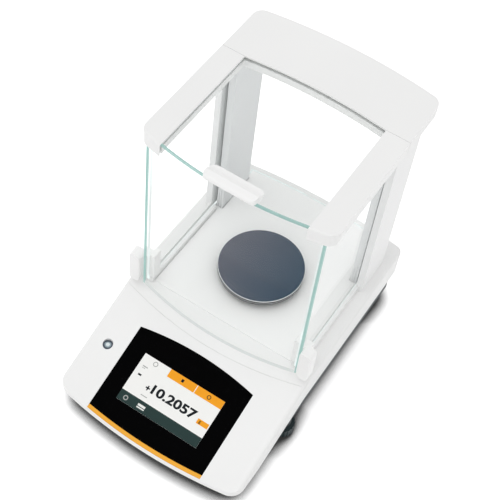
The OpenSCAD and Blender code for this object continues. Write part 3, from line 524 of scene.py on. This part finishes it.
# Door grips: white moulded clamps, one over the lower front corner of each side door
# and one, with a rounded bar, over the front edge of the top door. They are glued to the glass.
dress(
    moulded("grip_white", (0.97, 0.97, 0.965), 0.36, 0.05),
    "left_door_handle", "right_door_handle", "top_door_handle",
)


# Pan: a pressed steel plate with a turned-down rim, resting by its hub on the carrier's pin.
# The top has fine brushed lines and painted light, lighter on the left and darker towards the right.
# The rim's tones are painted: shade at its foot, a bright band low down and a highlight along its top.
def brushed_group():
    """Colour, roughness and normal of brushed metal: noise whose coordinates are multiplied by Stretch,
    so that its lines run along the axis with the smallest part."""
    group, given, made = new_group(
        "brushed_metal",
        {"Colour": "Color", "Roughness": "Float", "Stretch": "Vector"},
        {"Colour": "Color", "Roughness": "Float", "Normal": "Vector"},
    )
    place = put(group, "TexCoord", {}, "Object")
    stretched = maths(group, "MULTIPLY", place, given["Stretch"], kind="VectorMath")
    lines = put(group, "TexNoise", {"Vector": stretched, "Scale": 1.0, "Detail": 4.0}, "Fac")
    feed(group, made["Colour"], blend(group, 0.25, given["Colour"], lines, way="MULTIPLY"))
    feed(group, made["Roughness"], maths(group, "MULTIPLY_ADD", lines, 0.12, given["Roughness"]))
    scratches = {"Height": lines, "Strength": 0.15, "Distance": 0.00003}
    feed(group, made["Normal"], put(group, "Bump", scratches, "Normal"))
    return group


brushed_metal = brushed_group()


def brushed(name, colour, roughness, stretch=(12, 1800, 1800)):
    """Bare metal with brushed lines along X, unless stretch says otherwise."""
    values = {"Colour": (*colour, 1), "Roughness": roughness, "Stretch": stretch}
    material = surfaced(name, brushed_metal, values)
    shader(material)["Metallic"].default_value = 1.0
    return material


pan_low, pan_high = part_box("weighing_pan")
pan_rim, pan_top_skin = 0.0062, 0.0002
# Painted light on the pan's top: full tone on the left, darker towards the right.
left_painted_light, right_painted_shade = (1, 1, 1, 1), (0.42, 0.60, 0.70, 1)
# Painted highlight and shade on the rim: dark at its foot, a bright band low down, a highlight along the top
# edge.
rim_foot_shade, rim_edge_highlight = (0.0, (0.10, 0.12, 0.13)), (0.90, (0.95, 0.96, 0.96))
rim_painted_tones = ((0.12, 0.10), (0.20, 0.44), (0.34, 0.42), (0.50, 0.24), (0.80, 0.22))
rim_painted_stops = [rim_foot_shade, *((spot, (tone, tone * 1.02, tone * 1.03)) for spot, tone in rim_painted_tones), rim_edge_highlight]
pan_steel = brushed("pan_steel", (0.315, 0.325, 0.375), 0.90)
pan_tree = pan_steel.node_tree
pan_place = pan_tree.nodes.new("ShaderNodeSeparateXYZ")
feed(pan_tree, pan_place.inputs[0], put(pan_tree, "TexCoord", {}, "Object"))
pan_x, pan_z = pan_place.outputs["X"], pan_place.outputs["Z"]
rim_low = pan_high.z - pan_rim
across = put(pan_tree, "MapRange", {"Value": pan_x, "From Min": pan_low.x, "From Max": pan_high.x}, "Result")
up_rim = put(pan_tree, "MapRange", {"Value": pan_z, "From Min": rim_low, "From Max": pan_high.z}, "Result")
# Painted light across the top, from the left to the right.
painted_light_across = blend(pan_tree, across, left_painted_light, right_painted_shade)
lined = shader(pan_steel)["Base Color"].links[0].from_socket
top_colour = blend(pan_tree, 1.0, lined, painted_light_across, way="MULTIPLY")
# Painted highlight and shade up the rim.
rim_painted_colour = colour_ramp(pan_tree, up_rim, rim_painted_stops)
on_top = maths(pan_tree, "GREATER_THAN", pan_z, pan_high.z - pan_top_skin)
feed(pan_tree, shader(pan_steel)["Base Color"], blend(pan_tree, on_top, rim_painted_colour, top_colour))
dress(pan_steel, "weighing_pan")

# Weigh cell: frame, carrier, lever and lifter milled from aluminium, the frame screwed to the tray's floor.
# The coil on the lever is enamelled copper wire, in the air gap of an iron magnet pot.
# The calibration weight is turned brass, and the position sensor is black plastic.
dress(
    brushed("cell_alloy", (0.70, 0.71, 0.73), 0.32),
    "pan_carrier", "weigh_cell_frame", "load_lever", "weight_lifter",
)
dress(brushed("weight_brass", (0.78, 0.60, 0.28), 0.22), "calibration_weight")
dress(brushed("coil_copper", (0.72, 0.34, 0.18), 0.3, (900, 900, 6000)), "coil")
dress(brushed("pot_iron", (0.26, 0.27, 0.29), 0.4), "magnet_pot")
dress(moulded("sensor_plastic", (0.012, 0.012, 0.013), 0.45, 0.2), "position_sensor")

# Boards: glass-fibre laminate under a green lacquer.
# The main board is screwed to spacers on the tray, the display board is clipped behind the screen.
dress(
    moulded("board_green", (0.020, 0.16, 0.075), 0.35, 0.35, 140.0, 0.00004),
    "main_board", "display_board",
)

# Sockets: the power inlet is black plastic, the shells of the data sockets are plated steel.
# All sit in the cut-outs of the connector plate.
dress(moulded("inlet_plastic", (0.012, 0.012, 0.013), 0.4, 0.2), "power_inlet")
dress(brushed("socket_steel", (0.66, 0.67, 0.69), 0.25), "usb_socket", "data_socket")

# Screws: zinc-plated steel with a dull shine.
# The housing's go in from below, through the tray, and the weigh cell's from above.
dress(brushed("screw_zinc", (0.62, 0.63, 0.65), 0.3), "housing_screws", "cell_screws")
